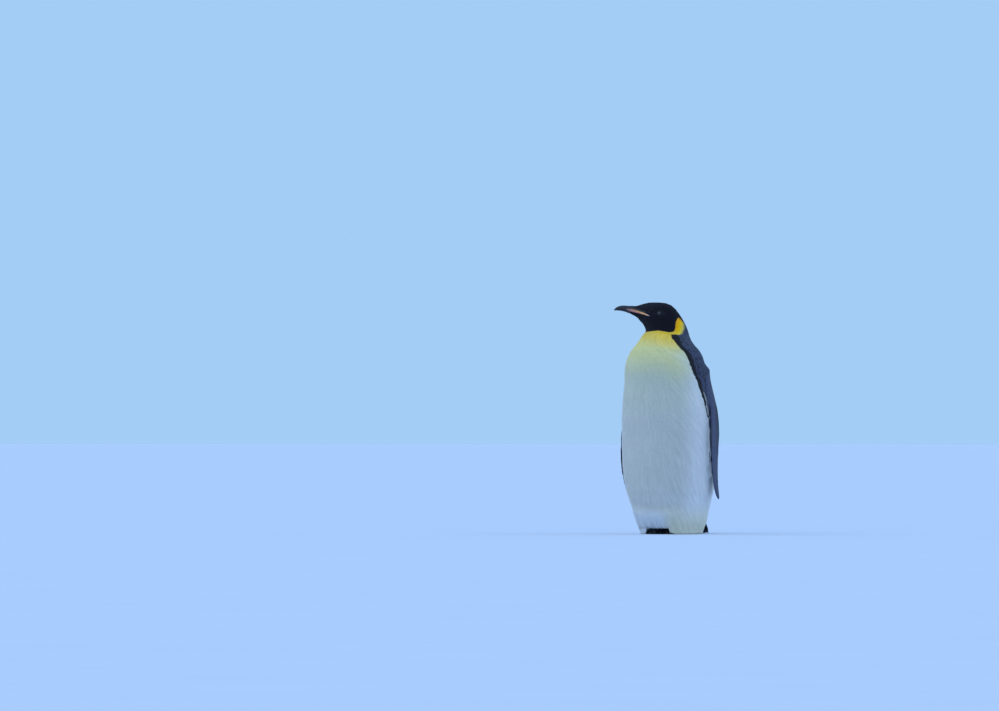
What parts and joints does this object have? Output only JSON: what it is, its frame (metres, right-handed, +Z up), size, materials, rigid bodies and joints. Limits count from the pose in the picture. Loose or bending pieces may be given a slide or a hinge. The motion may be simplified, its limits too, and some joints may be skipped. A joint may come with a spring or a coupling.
{
  "type": "emperor penguin",
  "caption": "Life-size still model of an emperor penguin standing at rest, neck drawn in, head turned to its right, flippers down.",
  "frame": {"origin": "on the floor, under the middle of the whole bird's box", "axes": "+Z up, the breast faces -Y, the bird's left side is +X"},
  "size_m": [0.4576, 0.4946, 1.0012],
  "materials": {
    "belly_feathers": "matte white and cream body feathers",
    "breast_feathers": "matte yellow upper breast fading to cream",
    "head_feathers": "velvety black short feathers with orange ear patches",
    "back_feathers": "matte slate blue-grey scale-like feathers",
    "tail_feathers": "stiff dark tail feathers",
    "bill_horn": "satin black horn",
    "bill_plate": "waxy orange-pink plate, lilac at the ends",
    "eye": "wet dark brown eye",
    "foot_skin": "scaly black skin",
    "claw_horn": "satin black horn"
  },
  "bodies": {
    "root": {"trunk": "belly_feathers", "neck": "breast_feathers", "head": "head_feathers", "bill_upper": "bill_horn", "bill_lower": "bill_horn", "bill_plate_left": "bill_plate", "bill_plate_right": "bill_plate", "eye_left": "eye", "eye_right": "eye", "flipper_left": "back_feathers", "flipper_right": "back_feathers", "leg_left": "belly_feathers", "leg_right": "belly_feathers", "tail": "tail_feathers", "foot_left": "foot_skin", "foot_right": "foot_skin", "claw_left_1": "claw_horn", "claw_left_2": "claw_horn", "claw_left_3": "claw_horn", "claw_right_1": "claw_horn", "claw_right_2": "claw_horn", "claw_right_3": "claw_horn"}
  },
  "joints": []
}
